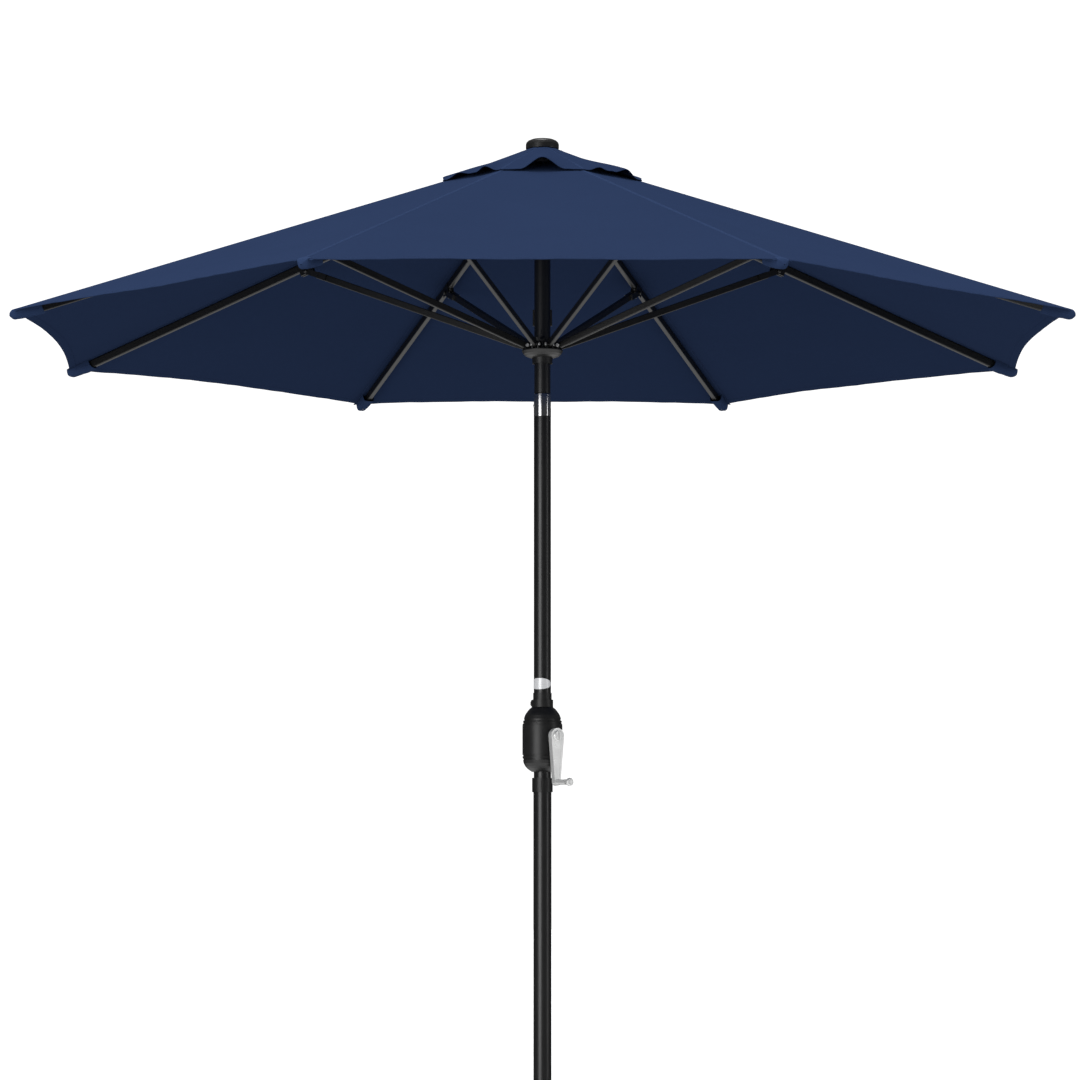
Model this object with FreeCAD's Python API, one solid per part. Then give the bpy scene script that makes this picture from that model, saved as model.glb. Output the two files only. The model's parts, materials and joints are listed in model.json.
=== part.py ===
"""Patio umbrella with a crank, a tilting top pole and a weighted base.

Units are millimetres, +Z is up and the pole's axis is Z. The front of the umbrella is -Y.
Each function builds one piece; save() writes its STEP file under parts/.
"""
import FreeCAD, Part
import os
from math import asin, atan2, cos, degrees, pi, radians, sin, sqrt, tan

V = FreeCAD.Vector
Z_AXIS = V(0, 0, 1)

# canopy
RIBS = 8
SECTOR = 360.0 / RIBS
HALF = radians(SECTOR / 2)
RIM_Z = 2020.0           # height of the rib ends above the floor
RIM_R = 1270.0           # centre of the pole to a rib end
SLOPE = radians(19.5)    # fall of the ribs when open
CLOTH = 1.5              # thickness of the canopy solids
CLOTH_GAP = 0.3          # between neighbouring canopy pieces
VENT_R = 115.0           # radius of the vent hole in the main canopy
HEM_DIP = 29.0           # how far each hem curves inward at its middle
CAP_R = 250.0            # vent cap, centre to corner
CAP_HOLE_R = 12.0
CAP_LIFT = 2.6           # cap above the canopy along the ribs
CAP_RISE = 15.0          # the cap's middle, held up by the finial
CAP_ARCH = 14.0          # extra height of the cap's hem between the ribs

# rib and strut linkage: equal arms, so the runner moves straight along the pole
RIB_W, RIB_H, RIB_WALL = 12.0, 19.0, 0.7
RIB_DROP = 13.5          # rib centreline below the canopy's top face, measured upright
RIB_INNER, RIB_TIP = 5.0, 20.0
PIVOT_R = 42.0           # pivots of the crown and of the runner
ARM = 612.0              # crown pivot to bracket pivot, and bracket pivot to runner pivot
BRACKET_DROP = 13.0      # bracket pivot below the rib's centreline
STRUT_W, STRUT_H, STRUT_WALL = 10.0, 16.0, 0.8
FORK_LEN, FORK_T = 30.0, 2.0
PIN_R, PIN_CLEAR = 2.5, 0.06
FOLD_MAX = radians(62.0)

# pole
UPPER_R, UPPER_BORE = 19.0, 17.4
MID_R, MID_BORE = 20.0, 18.2
LOWER_R, LOWER_BORE = 21.0, 19.2
TILT_Z = RIM_Z - 152.0
COLLAR_R, COLLAR_BORE = 20.2, 17.9
COLLAR_TOP, COLLAR_BOTTOM = TILT_Z + 27.2, RIM_Z - 177.0
UPPER_BOTTOM = TILT_Z + 29.3
BLADE_X, BLADE_Y = 9.0, 10.0

# crank housing
CRANK_Z = RIM_Z - 925.0
CRANK_AZ = radians(35.0)   # towards the right of the front
SEAM_AZ = radians(23.5)
HOUSE_R, HOUSE_WALL = 46.5, 3.0
HOUSE_TOP, HOUSE_BOTTOM = RIM_Z - 857.0, RIM_Z - 1007.0
# height and outside radius of the housing at each groove
GROOVES = [(HOUSE_TOP - 29.5, 44.0), (HOUSE_TOP - 37.0, 45.8),
           (HOUSE_BOTTOM + 37.5, 46.4), (HOUSE_BOTTOM + 29, 45.7)]
GROOVE_HALF, GROOVE_DEEP = 1.9, 1.8
NECK_TOP, EARS_TOP = RIM_Z - 824.0, RIM_Z - 840.0
BOSS_R, BOSS_FACE = 19.0, 50.0
SHAFT_R = 6.0
CRANK_LEN, CRANK_T = 107.0, 12.0
LEVER_BIG, LEVER_SMALL, LEVER_WALL = 18.0, 8.0, 3.2
SPOOL_R, SPOOL_FLANGE_R, SPOOL_HALF = 8.0, 15.0, 9.0
COUPLING_TOP, COUPLING_BOTTOM = RIM_Z - 1021.0, RIM_Z - 1054.0
POLE_SPLIT = COUPLING_TOP - 9.5

# lift cord
CORD_R = 1.5
CORD_X, CORD_Y = 12.0, -8.5
CORD_OUT_Y = 22.5
PULLEY_R = (CORD_OUT_Y - CORD_Y) / 2

# base
BASE_R, BASE_UNDER, BASE_TOP = 250.0, 8.0, 78.0
TUBE_R, TUBE_BORE, TUBE_TOP = 27.0, 24.0, 262.0
KNOB_Z = 205.0

CROWN_Z = RIM_Z + (RIM_R - PIVOT_R) * tan(SLOPE) - RIB_DROP
ARM_SLOPE = SLOPE + asin(BRACKET_DROP / ARM)
BRACKET_R = PIVOT_R + ARM * cos(ARM_SLOPE)
BRACKET_Z = CROWN_Z - ARM * sin(ARM_SLOPE)
RUNNER_Z = CROWN_Z - 2 * ARM * sin(ARM_SLOPE)
APEX_Z = RIM_Z + RIM_R * tan(SLOPE)
PULLEY_Z = CROWN_Z - 22.0


def cyl(r, z0, z1, x=0.0, y=0.0):
    return Part.makeCylinder(r, z1 - z0, V(x, y, z0), Z_AXIS)


def ring(r, bore, z0, z1):
    return cyl(r, z0, z1).cut(cyl(bore, z0 - 1, z1 + 1))


def box(x0, x1, y0, y1, z0, z1):
    return Part.makeBox(x1 - x0, y1 - y0, z1 - z0, V(x0, y0, z0))


def turned(profile):
    """A solid of revolution about Z from (radius, height) points."""
    wire = Part.makePolygon([V(r, 0, z) for r, z in profile + profile[:1]])
    return Part.Face(wire).revolve(V(0, 0, 0), Z_AXIS, 360)


def rod(r, start, direction, length):
    return Part.makeCylinder(r, length, start, direction)


def azimuth(shape, angle):
    """Turn a piece built facing +X so that it faces the given angle from the front, -Y."""
    out = shape.copy()
    out.rotate(V(0, 0, 0), Z_AXIS, degrees(angle) - 90)
    return out


def rib_angles():
    return [HALF + 2 * HALF * k for k in range(RIBS)]


def all_ribs(shape):
    """A piece built in the plane of +X, repeated at every rib."""
    return [azimuth(shape, a) for a in rib_angles()]


def save(name, *shapes):
    solids = [s for shape in shapes for s in shape.Solids]
    for solid in solids:
        if not solid.isValid():
            print("not valid:", name)
    out = solids[0] if len(solids) == 1 else Part.makeCompound(solids)
    out.exportStep("parts/%s.step" % name)
    print(name, len(solids), round(sum(s.Volume for s in solids)))


def joined(*shapes):
    out = shapes[0]
    for s in shapes[1:]:
        out = out.fuse(s)
    return out.removeSplitter()


# ---- canopy -----------------------------------------------------------------------------

def canopy_z(r):
    return APEX_Z - r * tan(SLOPE)


def sheet_from(points, thickness):
    """A flat sheet: the polygon or arc-edged outline, thickened downward."""
    face = Part.Face(Part.Wire(points))
    return face.extrude(V(0, 0, -thickness))


def half_gore(sign):
    """Half of the cloth between two ribs, from the rib in the plane of +X to the middle."""
    mid = V(cos(HALF), sign * sin(HALF), 0)
    across = V(-sin(HALF) * sign, cos(HALF), 0) * (-sign * CLOTH_GAP / 2)
    fall = tan(SLOPE) / cos(HALF)

    def on_mid(r):
        return V(0, 0, APEX_Z - fall * r) + mid * r + across

    def on_rib(r):
        return V(r, 0, canopy_z(r))

    outer = RIM_R * cos(HALF) - HEM_DIP
    corner, mid_rim = on_rib(RIM_R), on_mid(outer)
    chord = mid_rim - corner
    inward = on_mid(outer - 60) - mid_rim
    through = corner + chord * 0.5 + inward * (HEM_DIP * 0.25 / inward.Length)
    edges = [
        Part.Arc(corner, through, mid_rim).toShape(),
        Part.makeLine(mid_rim, on_mid(VENT_R)),
        Part.makeLine(on_mid(VENT_R), on_rib(VENT_R)),
        Part.makeLine(on_rib(VENT_R), corner),
    ]
    return sheet_from(edges, CLOTH)


def half_cap(sign):
    """Half of a vent cap panel; its hem rises to an arch between the ribs."""
    mid = V(cos(HALF), sign * sin(HALF), 0)
    across = V(-sin(HALF) * sign, cos(HALF), 0) * (-sign * CLOTH_GAP / 2)
    fall = tan(SLOPE) / cos(HALF)
    reach = CAP_R * cos(HALF)
    top = APEX_Z + CAP_LIFT + CLOTH + CAP_RISE

    def on_mid(r):
        return V(0, 0, top - (fall + (CAP_RISE - CAP_ARCH) / reach) * r) + mid * r + across

    def on_rib(r):
        return V(r, 0, top - (tan(SLOPE) + CAP_RISE / CAP_R) * r)

    corners = [on_rib(CAP_R), on_mid(reach), on_mid(CAP_HOLE_R), on_rib(CAP_HOLE_R)]
    lines = [Part.makeLine(corners[i], corners[(i + 1) % 4]) for i in range(4)]
    a, b, c, d = corners
    lower = V(0, 0, -CLOTH)
    tris = [(a, b, c), (a, c, d)]
    faces = [Part.Face(Part.makePolygon([p, q, s, p])) for p, q, s in tris]
    faces += [Part.Face(Part.makePolygon([p + lower, q + lower, s + lower, p + lower]))
              for p, q, s in tris]
    for p, q in ((a, b), (b, c), (c, d), (d, a)):
        faces.append(Part.Face(Part.makePolygon([p, q, q + lower, p + lower, p])))
    return Part.Solid(Part.Shell(faces))


def canopy_piece():
    return joined(half_gore(1), half_gore(-1))


def cap_piece():
    halves = [half_cap(1), half_cap(-1)]
    for h in halves:
        if h.Volume < 0:
            h.reverse()
    return joined(*halves)


# ---- ribs and struts ---------------------------------------------------------------------

def along(x, z, angle, shape):
    """Place a bar built along +X from the origin at (x, z), falling outward by the angle."""
    out = shape.copy()
    out.rotate(V(0, 0, 0), V(0, 1, 0), degrees(angle))
    out.translate(V(x, 0, z))
    return out


def rounded_bar(x0, x1, width, height, corner):
    bar = box(x0, x1, -width / 2, width / 2, -height / 2, height / 2)
    return bar.makeFillet(corner, [e for e in bar.Edges if abs(e.Length - (x1 - x0)) < 1e-6])


def tube_bar(x0, x1, width, height, wall, corner):
    """A rounded rectangular tube along X."""
    outer = rounded_bar(x0, x1, width, height, corner)
    return outer.cut(rounded_bar(x0 - 1, x1 + 1, width - 2 * wall, height - 2 * wall, corner - wall))


def cross_pin(x, z, r, half):
    return rod(r, V(x, -half, z), V(0, 1, 0), 2 * half)


def rib_pieces():
    """Rib tube, strut bracket, its rivet and the rib's tip, in the plane of +X."""
    length = (RIM_R - 14 - PIVOT_R) / cos(SLOPE)
    tube = tube_bar(-RIB_INNER, length, RIB_W, RIB_H, RIB_WALL, 2.4)
    inner_wall = 2.6
    fit = 2 * RIB_WALL + 0.1
    eye = rounded_bar(-RIB_INNER + 0.4, 16, RIB_W - fit, RIB_H - fit, 1.7)
    hole = cross_pin(0, 0, PIN_R + PIN_CLEAR, RIB_W)
    tube, eye = tube.cut(hole), eye.cut(hole)

    reach = sqrt(ARM ** 2 - BRACKET_DROP ** 2)
    ear_out = RIB_W / 2 + 1.8
    saddle = box(reach - 17, reach + 17, -ear_out, ear_out, -BRACKET_DROP - 6.5, RIB_H / 2 - 5)
    saddle = saddle.cut(box(reach - 30, reach + 30, -RIB_W / 2 - 0.05, RIB_W / 2 + 0.05,
                            -RIB_H / 2 - 0.05, RIB_H))
    saddle = saddle.cut(box(reach - 30, reach + 30, -RIB_W / 2 + inner_wall, RIB_W / 2 - inner_wall,
                            -BRACKET_DROP - 9, -RIB_H / 2 - 1.6))
    saddle = saddle.cut(cross_pin(reach, -BRACKET_DROP, PIN_R + PIN_CLEAR, RIB_W))
    head = ear_out + FORK_T + 0.5
    rivet = joined(cross_pin(reach, -BRACKET_DROP, PIN_R, head),
                   rod(4.6, V(reach, head, -BRACKET_DROP), V(0, 1, 0), 1.6),
                   rod(4.6, V(reach, -head, -BRACKET_DROP), V(0, -1, 0), 1.6))

    plug = rounded_bar(length - 22, length + 0.2, RIB_W - fit, RIB_H - fit, 1.7)
    nose = Part.makeCone(5.2, 2.2, 13.0, V(length + 0.2, 0, -2.5), V(1, 0, 0))
    tip = joined(plug, nose)
    return [along(PIVOT_R, CROWN_Z, SLOPE, s) for s in (tube, eye, saddle, rivet, tip)]


def strut_pieces():
    """Strut tube with a fork at the rib bracket and a flat eye at the runner."""
    tube = tube_bar(22, ARM - FORK_LEN, STRUT_W, STRUT_H, STRUT_WALL, 2.0)
    fit = 2 * STRUT_WALL + 0.1
    eye = joined(rounded_bar(0, 40, STRUT_W - fit, STRUT_H - fit, 1.2),
                 cross_pin(0, 0, (STRUT_H - fit) / 2 - 0.05, (STRUT_W - fit) / 2))
    eye = eye.cut(cross_pin(0, 0, PIN_R + PIN_CLEAR, STRUT_W))

    fork_in = RIB_W / 2 + 1.8 + 0.2
    fork_out = fork_in + FORK_T
    fork_start, half = ARM - FORK_LEN, STRUT_H / 2 - 1
    root = box(fork_start - 26, fork_start + 5, -fork_out, fork_out, -half, half)
    root = root.cut(box(ARM - FORK_LEN - 30, ARM - FORK_LEN + 0.1, -STRUT_W / 2 - 0.05, STRUT_W / 2 + 0.05,
                        -STRUT_H, STRUT_H))
    prongs = box(ARM - FORK_LEN, ARM, -fork_out, fork_out, -STRUT_H / 2 + 1, STRUT_H / 2 - 1)
    prongs = joined(prongs, cross_pin(ARM, 0, STRUT_H / 2 - 1, fork_out))
    prongs = prongs.cut(box(ARM - FORK_LEN + 5, ARM + 20, -fork_in, fork_in, -STRUT_H, STRUT_H))
    prongs = prongs.cut(cross_pin(ARM, 0, PIN_R + PIN_CLEAR, STRUT_W * 2))
    fork = joined(root, prongs)
    return [along(PIVOT_R, RUNNER_Z, -ARM_SLOPE, s) for s in (tube, eye, fork)]


# ---- crown, runner and their pins ----------------------------------------------------------

def crown_hub():
    core = cyl(28, PULLEY_Z - 20, CROWN_Z + 13.6)
    cheeks = cyl(52, CROWN_Z - 11, CROWN_Z + 4)
    plug = cyl(UPPER_BORE - 0.1, PULLEY_Z - 52, PULLEY_Z - 20)
    hub = joined(core, cheeks, plug)
    slot = box(29.2, 70, -RIB_W / 2 - 0.4, RIB_W / 2 + 0.4, CROWN_Z - 30, CROWN_Z + 30)
    for s in all_ribs(slot):
        hub = hub.cut(s)
    for p in all_ribs(cross_pin(PIVOT_R, CROWN_Z, PIN_R + 0.05, 11.05)):
        hub = hub.cut(p)
    hub = hub.cut(box(CORD_X - 3.6, CORD_X + 3.6, CORD_Y - CORD_R - 1.5, CORD_OUT_Y + CORD_R + 0.4,
                      PULLEY_Z - 19, PULLEY_Z + PULLEY_R + CORD_R + 1.5))
    hub = hub.cut(cyl(CORD_R + 0.6, PULLEY_Z - 60, PULLEY_Z, CORD_X, CORD_Y))
    hub = hub.cut(cyl(CORD_R + 0.6, PULLEY_Z - 60, PULLEY_Z, CORD_X, CORD_OUT_Y))
    axle = rod(2.55, V(CORD_X - 8, CORD_Y + PULLEY_R, PULLEY_Z), V(1, 0, 0), 16)
    return hub.cut(axle).cut(cyl(5.05, CROWN_Z - 4, CROWN_Z + 20))


def pulley():
    """Grooved wheel and its axle, two pieces."""
    y = CORD_Y + PULLEY_R
    rim = PULLEY_R + CORD_R
    groove = PULLEY_R - CORD_R - 0.1
    profile = [(2.6, -3.2), (rim, -3.2), (rim, -2.8), (groove, -1.6), (groove, 1.6), (rim, 2.8), (rim, 3.2),
               (2.6, 3.2)]
    wheel = turned(profile)
    wheel.rotate(V(0, 0, 0), V(0, 1, 0), 90)
    wheel.translate(V(CORD_X, y, PULLEY_Z))
    return wheel, rod(2.5, V(CORD_X - 7.9, y, PULLEY_Z), V(1, 0, 0), 15.8)


def finial():
    """Low round cap screwed to the crown through the cloth."""
    z = APEX_Z + CAP_LIFT + CLOTH + CAP_RISE
    cap = turned([(0, z - 3), (13, z - 3.4), (36, z - 12.6), (38.2, z - 12.4), (39, z - 10), (39, z - 1),
                  (37.6, z + 3.6), (34, z + 7.2), (27, z + 10.4), (15, z + 12.9), (0, z + 13.6)])
    stud = cyl(5, CROWN_Z - 3.9, z + 2)
    return joined(cap, stud)


def runner():
    z = RUNNER_Z
    core = turned([(22.2, z - 41), (23.4, z - 41), (24.2, z - 27), (31, z - 26), (39, z - 23),
                   (44.5, z - 18), (48, z - 11.6), (48, z - 9.6), (29, z - 9.6), (29, z + 14),
                   (26.5, z + 20), (22.2, z + 20)])
    ear = box(25, 46, STRUT_W / 2 + 0.4, STRUT_W / 2 + 4.2, z - 14, z + 8)
    ear = ear.makeFillet(6, [e for e in ear.Edges if e.Length > 3 and abs(e.BoundBox.XMin - 46) < 1e-6
                             and abs(e.BoundBox.ZMin - z - 8) < 1e-6 and e.BoundBox.YLength > 3])
    other = ear.mirror(V(0, 0, 0), V(0, 1, 0))
    body = core
    for e in all_ribs(ear) + all_ribs(other):
        body = body.fuse(e)
    body = body.removeSplitter()
    slot = box(26, 60, -STRUT_W / 2 - 0.4, STRUT_W / 2 + 0.4, z - 9.5, z + 30)
    for s in all_ribs(slot):
        body = body.cut(s)
    for p in all_ribs(cross_pin(PIVOT_R, z, PIN_R + 0.05, 20)):
        body = body.cut(p)
    return body.cut(cyl(CORD_R + 0.3, z + 4, z + 30, CORD_X, CORD_OUT_Y))


def runner_pins():
    face = STRUT_W / 2 + 4.2
    pin = joined(cross_pin(PIVOT_R, RUNNER_Z, PIN_R, face),
                 rod(4.0, V(PIVOT_R, face, RUNNER_Z), V(0, 1, 0), 1.4),
                 rod(4.0, V(PIVOT_R, -face, RUNNER_Z), V(0, -1, 0), 1.4))
    return all_ribs(pin)


def stop_blocks():
    """Two blocks on the sides of the upper pole that stop the runner."""
    z0, z1 = RIM_Z + 37, RIM_Z + 75
    out = []
    for sign in (1, -1):
        near, far = sorted((sign * (UPPER_R - 4), sign * 22.8))
        block = box(near, far, -4, 4, z0, z1)
        block = block.makeFillet(1.5, [e for e in block.Edges if e.BoundBox.ZLength > 20
                                       and abs(e.BoundBox.XMin) > 20])
        out.append(block.cut(cyl(UPPER_R + 0.02, z0 - 5, z1 + 5)))
    return out


# ---- pole and tilt joint ---------------------------------------------------------------------

def tilt_collar():
    """Chrome end of the middle pole, slotted at the back for the tilting neck."""
    body = joined(ring(COLLAR_R, COLLAR_BORE, COLLAR_BOTTOM, COLLAR_TOP),
                  ring(MID_BORE - 0.05, 16.2, COLLAR_BOTTOM - 34, COLLAR_BOTTOM),
                  ring(COLLAR_R, 16.2, COLLAR_BOTTOM, COLLAR_BOTTOM + 3))
    body = body.cut(box(-BLADE_X - 0.8, BLADE_X + 0.8, 5, 30, TILT_Z + 3.0, COLLAR_TOP + 5))
    return body.cut(rod(6.05, V(-30, 0, TILT_Z), V(1, 0, 0), 60))


def tilt_knuckle():
    """Neck fixed inside the upper pole; its blade turns on the tilt pin."""
    blade = joined(box(-BLADE_X, BLADE_X, -BLADE_Y, BLADE_Y, TILT_Z, TILT_Z + 44),
                   rod(BLADE_Y, V(-BLADE_X, 0, TILT_Z), V(1, 0, 0), 2 * BLADE_X))
    plug = cyl(UPPER_BORE - 0.1, TILT_Z + 42, TILT_Z + 78)
    body = joined(blade, plug).cut(cyl(CORD_R + 0.7, TILT_Z + 30, TILT_Z + 90, CORD_X, CORD_Y))
    body = body.cut(box(BLADE_X - 0.01, 20, -20, 20, TILT_Z - 20, TILT_Z + 42))
    return body.cut(rod(6.08, V(-30, 0, TILT_Z), V(1, 0, 0), 60))


def tilt_pin():
    """Hollow hinge pin along X with the push button's guide in its left end."""
    pin = rod(6.0, V(-20, 0, TILT_Z), V(1, 0, 0), 40)
    pin = pin.cut(rod(3.66, V(-21, 0, TILT_Z), V(1, 0, 0), 10))
    return pin.cut(rod(4.9, V(-16, 0, TILT_Z), V(1, 0, 0), 31))


def tilt_button():
    stem = rod(3.6, V(-21.7, 0, TILT_Z), V(1, 0, 0), 8.2)
    flange = rod(4.7, V(-15.8, 0, TILT_Z), V(1, 0, 0), 2.3)
    return joined(stem, flange)


def tilt_spring():
    helix = Part.makeHelix(3.4, 25.5, 3.6)
    start = Part.Wire([Part.makeCircle(0.6, V(3.6, 0, 0), V(0, 1, 0))])
    coil = Part.Wire([helix]).makePipeShell([start], True, True) if helix.ShapeType == "Edge" \
        else helix.makePipeShell([start], True, True)
    coil.rotate(V(0, 0, 0), V(0, 1, 0), 90)
    coil.translate(V(-12.8, 0, TILT_Z))
    return coil


def middle_pole():
    tube = ring(MID_R, MID_BORE, POLE_SPLIT, COLLAR_BOTTOM)
    along_crank = V(sin(CRANK_AZ), -cos(CRANK_AZ), 0)
    return tube.cut(rod(SHAFT_R + 0.3, V(0, 0, CRANK_Z) - along_crank * 40, along_crank, 80))


def coupling_collar():
    body = joined(cyl(24, COUPLING_BOTTOM, COUPLING_TOP),
                  box(-2.5, 2.5, -26, -20, COUPLING_BOTTOM + 6, COUPLING_TOP - 5))
    body = body.cut(cyl(MID_R + 0.05, POLE_SPLIT, COUPLING_TOP + 1))
    return body.cut(cyl(LOWER_R + 0.05, COUPLING_BOTTOM - 1, POLE_SPLIT))


def inner_sleeve():
    upper = ring(MID_BORE - 0.05, 15.8, POLE_SPLIT, RIM_Z - 968)
    return joined(upper, ring(LOWER_BORE - 0.05, 15.8, POLE_SPLIT - 70, POLE_SPLIT))


# ---- crank -------------------------------------------------------------------------------------

def crank_frame(shape):
    """Move a piece built with its axis on +X, through the origin, to the crank's axis."""
    out = azimuth(shape, CRANK_AZ)
    out.translate(V(0, 0, CRANK_Z))
    return out


def housing_shells():
    """Two half shells that clip round the pole, split on an upright plane."""
    z0, z1 = HOUSE_BOTTOM, HOUSE_TOP
    outline = [(24.5, z1), (30, z1 - 4), (34.7, z1 - 9.7), (38.2, z1 - 14.6),
               (40.9, z1 - 19.6), (43.9, z1 - 29), (45.8, z1 - 37), (HOUSE_R, z1 - 44)]
    lower = [(HOUSE_R, z0 + 38), (45.7, z0 + 29), (43.4, z0 + 19.6), (40, z0 + 13),
             (35.9, z0 + 8.2), (30.5, z0 + 4), (24.5, z0)]
    solid = turned([(0, z1)] + outline + lower + [(0, z0)])
    hollow = turned([(0, z1 - 4)] + [(r - HOUSE_WALL, z - 3) for r, z in outline]
                    + [(r - HOUSE_WALL, z + 3) for r, z in lower] + [(0, z0 + 4)])
    boss = crank_frame(rod(BOSS_R, V(25, 0, 0), V(1, 0, 0), BOSS_FACE - 0.4 - 25))
    bearing = crank_frame(rod(10.5, V(21.5, 0, 0), V(1, 0, 0), 24))
    body = solid.fuse(boss).cut(hollow.cut(crank_frame(rod(BOSS_R, V(36, 0, 0), V(1, 0, 0), 40))))
    body = body.fuse(bearing)
    for z, r in GROOVES:
        groove = ring(HOUSE_R + 3, r - GROOVE_DEEP, z - GROOVE_HALF, z + GROOVE_HALF)
        body = body.cut(groove.cut(boss))
    posts = [screw_line(5.2, side, z, -60, 60) for side in (-1, 1) for z in screw_heights()]
    for p in posts:
        body = body.fuse(p.common(solid))
    for side in (-1, 1):
        for z in screw_heights():
            body = body.cut(screw_line(2.05, side, z, -14, 42)).cut(screw_line(3.8, side, z, 14, 60))
    body = body.cut(cyl(MID_R + 0.08, z0 - 5, z1 + 5))
    body = body.cut(crank_frame(rod(SHAFT_R + 0.06, V(0, 0, 0), V(1, 0, 0), 70)))
    keep_front = box(0.05, 90, -90, 90, z0 - 10, z1 + 10)
    keep_back = box(-90, -0.05, -90, 90, z0 - 10, z1 + 10)
    turn = SEAM_AZ + pi / 2
    halves = [body.common(azimuth(k, turn)) for k in (keep_front, keep_back)]
    return [max(h.Solids, key=lambda s: s.Volume) for h in halves]


def screw_heights():
    return HOUSE_TOP - 42, HOUSE_BOTTOM + 22


def screw_line(r, side, z, start, end):
    """A rod across the housing's split, clear of the pole."""
    out = rod(r, V(start, side * 31.0, z), V(1, 0, 0), end - start)
    return azimuth(out, SEAM_AZ + pi / 2)


def housing_screws():
    out = []
    for side in (-1, 1):
        for z in screw_heights():
            head = screw_line(3.7, side, z, 14.05, 17)
            slot = screw_line(1.2, side, z, 15.6, 18)
            out.append(joined(head, screw_line(2.0, side, z, -13, 14.1)).cut(slot))
    return out


def housing_neck():
    ears = joined(cyl(25, HOUSE_TOP, EARS_TOP), cyl(21.6, EARS_TOP, NECK_TOP))
    lug = box(-27, -20, -5, 5, HOUSE_TOP + 2, EARS_TOP - 1)
    face_edges = [e for e in lug.Edges
                  if abs(e.BoundBox.XMax + 27) < 1e-6 and e.BoundBox.YLength > 5]
    lug = lug.makeFillet(2, face_edges)
    body = joined(ears, lug).cut(cyl(MID_R + 0.05, HOUSE_TOP - 5, NECK_TOP + 5))
    return body.cut(rod(2.05, V(-35, 0, HOUSE_TOP + 8.5), V(1, 0, 0), 16))


def neck_screw():
    z = HOUSE_TOP + 8.5
    screw = joined(rod(2.0, V(-27.2, 0, z), V(1, 0, 0), 6.6), rod(3.4, V(-28.5, 0, z), V(1, 0, 0), 1.48))
    return screw.cut(box(-29, -28, -5, 5, z - 0.6, z + 0.6))


def spool():
    profile = [(SHAFT_R + 0.02, -SPOOL_HALF), (SPOOL_FLANGE_R, -SPOOL_HALF),
               (SPOOL_FLANGE_R, -SPOOL_HALF + 2),
               (SPOOL_R, -SPOOL_HALF + 2), (SPOOL_R, SPOOL_HALF - 2), (SPOOL_FLANGE_R, SPOOL_HALF - 2),
               (SPOOL_FLANGE_R, SPOOL_HALF), (SHAFT_R + 0.02, SPOOL_HALF)]
    wheel = turned(profile)
    wheel.rotate(V(0, 0, 0), V(0, 1, 0), 90)
    return crank_frame(wheel)


def crank_shaft():
    shaft = rod(SHAFT_R, V(-19.5, 0, 0), V(1, 0, 0), 19.5 + BOSS_FACE + CRANK_T - 0.05)
    return crank_frame(shaft.cut(rod(2.6, V(BOSS_FACE - 14, 0, 0), V(1, 0, 0), 40)))


def lever(big, small, x0, x1):
    """A tapered bar with round ends, hanging from the crank's axis."""
    tilt = asin((big - small) / CRANK_LEN)
    pts = [(big * cos(tilt), -big * sin(tilt)), (small * cos(tilt), -CRANK_LEN - small * sin(tilt)),
           (-small * cos(tilt), -CRANK_LEN - small * sin(tilt)), (-big * cos(tilt), -big * sin(tilt))]
    web = Part.Face(Part.makePolygon([V(x0, y, z) for y, z in pts + pts[:1]])).extrude(V(x1 - x0, 0, 0))
    return joined(web, rod(big, V(x0, 0, 0), V(1, 0, 0), x1 - x0),
                  rod(small, V(x0, 0, -CRANK_LEN), V(1, 0, 0), x1 - x0))


def crank_arm():
    """Cast lever, hollow at the back, with a shallow panel in front and the grip's fixed pin."""
    x0, x1 = BOSS_FACE, BOSS_FACE + CRANK_T
    hollow = lever(LEVER_BIG - LEVER_WALL, LEVER_SMALL - LEVER_WALL, x0 - 1, x1 - 4)
    arm = lever(LEVER_BIG, LEVER_SMALL, x0, x1).cut(hollow.cut(rod(10, V(x0 - 2, 0, 0), V(1, 0, 0), 20)))
    panel = [(9.5, -17), (4.4, -94), (-4.4, -94), (-9.5, -17)]
    panel_wire = Part.makePolygon([V(x1 - 0.9, y, z) for y, z in panel + panel[:1]])
    arm = arm.cut(Part.Face(panel_wire).extrude(V(3, 0, 0)))
    arm = arm.cut(rod(SHAFT_R + 0.02, V(x0 - 1, 0, 0), V(1, 0, 0), 20))
    pin = joined(rod(3.0, V(x1 - 3.5, 0, -CRANK_LEN), V(1, 0, 0), 53.2),
                 rod(4.6, V(x1 + 49.6, 0, -CRANK_LEN), V(1, 0, 0), 1.5))
    return crank_frame(joined(arm, pin))


def crank_grip():
    """Turning sleeve with a flared end."""
    x0 = BOSS_FACE + CRANK_T + 0.4
    grip = turned([(3.08, 0), (6.4, 0), (7.0, 1.2), (6.2, 6), (6.2, 33), (7.2, 39), (9.2, 44),
                   (9.6, 46.5), (9.0, 49), (7.4, 50.5), (5.2, 50.5), (5.2, 49), (3.08, 49)])
    grip.rotate(V(0, 0, 0), V(0, 1, 0), 90)
    grip.translate(V(x0, 0, -CRANK_LEN))
    return crank_frame(grip)


def crank_screw():
    x1 = BOSS_FACE + CRANK_T
    head = turned([(0, 0.02), (12.6, 0.02), (12.6, 2.6), (10.8, 4.4), (0, 5.0)])
    head.rotate(V(0, 0, 0), V(0, 1, 0), 90)
    head.translate(V(x1, 0, 0))
    screw = joined(head, rod(2.5, V(x1 - 17, 0, 0), V(1, 0, 0), 18))
    return crank_frame(screw.cut(box(x1 + 2.8, x1 + 7, -1.3, 1.3, -14, 14)))


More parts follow.
